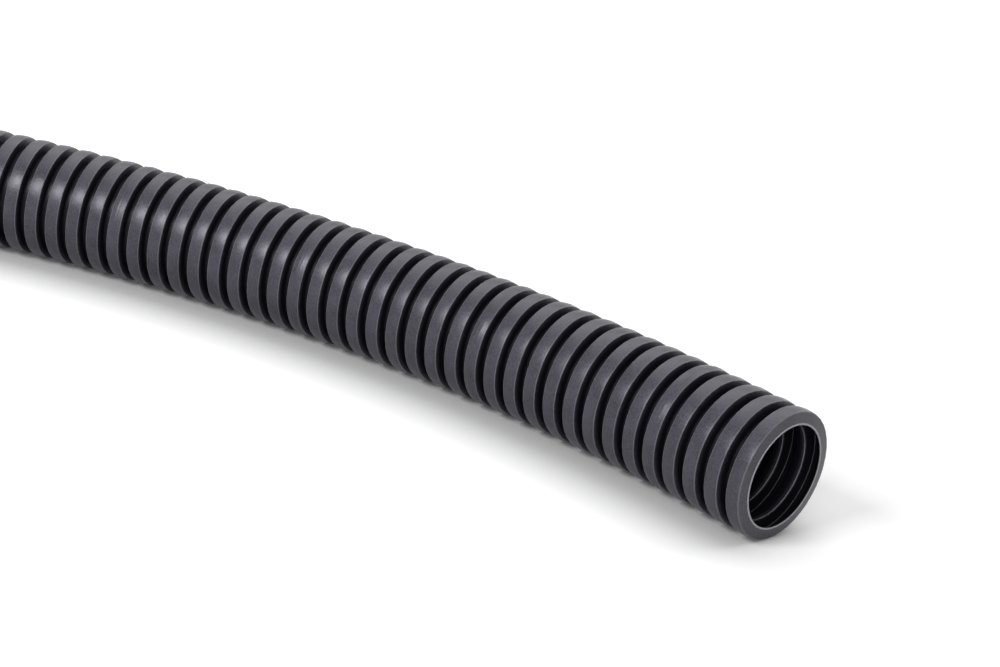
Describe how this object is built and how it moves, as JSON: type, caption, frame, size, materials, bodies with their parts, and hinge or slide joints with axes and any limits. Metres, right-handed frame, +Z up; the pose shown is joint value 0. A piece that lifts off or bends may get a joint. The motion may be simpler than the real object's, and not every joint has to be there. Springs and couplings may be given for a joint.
{
  "type": "corrugated conduit",
  "caption": "Flexible corrugated plastic conduit, cut length, lying with one gentle bend; cables run through its bore.",
  "frame": {"origin": "middle of the floor area that the stock covers, on the floor", "axes": "+X along the straight run towards the bent end, which turns towards -Y; +Z up"},
  "size_m": [0.9863, 0.1116, 0.032],
  "materials": {
    "conduit_plastic": "satin charcoal moulded plastic with a fine grain and faint mould lines"
  },
  "bodies": {
    "root": {"conduit": "conduit_plastic"}
  },
  "joints": []
}
